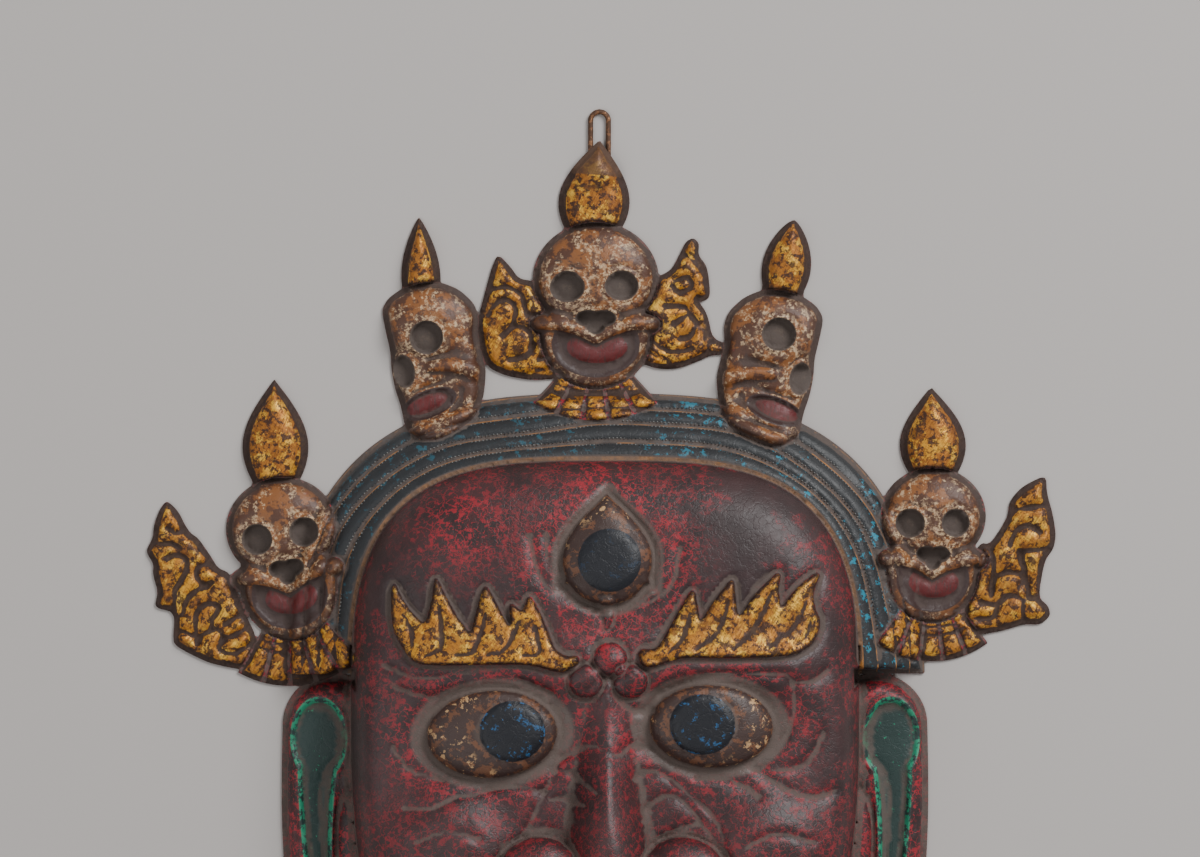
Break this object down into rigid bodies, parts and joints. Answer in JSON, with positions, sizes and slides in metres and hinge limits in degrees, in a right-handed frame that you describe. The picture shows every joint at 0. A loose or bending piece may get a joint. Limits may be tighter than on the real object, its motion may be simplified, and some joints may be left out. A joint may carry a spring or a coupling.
{
  "type": "ceremonial mask",
  "caption": "Wrathful three-eyed dance mask hammered from one copper sheet, hollow behind, with a skull crown and a wire hanging loop.",
  "frame": {"origin": "middle of the footprint of the mask and its loop, on the table the mask lies on", "axes": "+Z out of the face, +Y from the chin to the crown, +X to the viewer's right"},
  "size_m": [0.4086, 0.4528, 0.0758],
  "materials": {
    "painted_copper": "worn dark red, gold, cream and blue-black paint over brown copper, satin",
    "copper_wire": "bare copper wire gone dull brown"
  },
  "bodies": {
    "root": {"mask_sheet": "painted_copper", "hanging_loop": "copper_wire"}
  },
  "joints": []
}
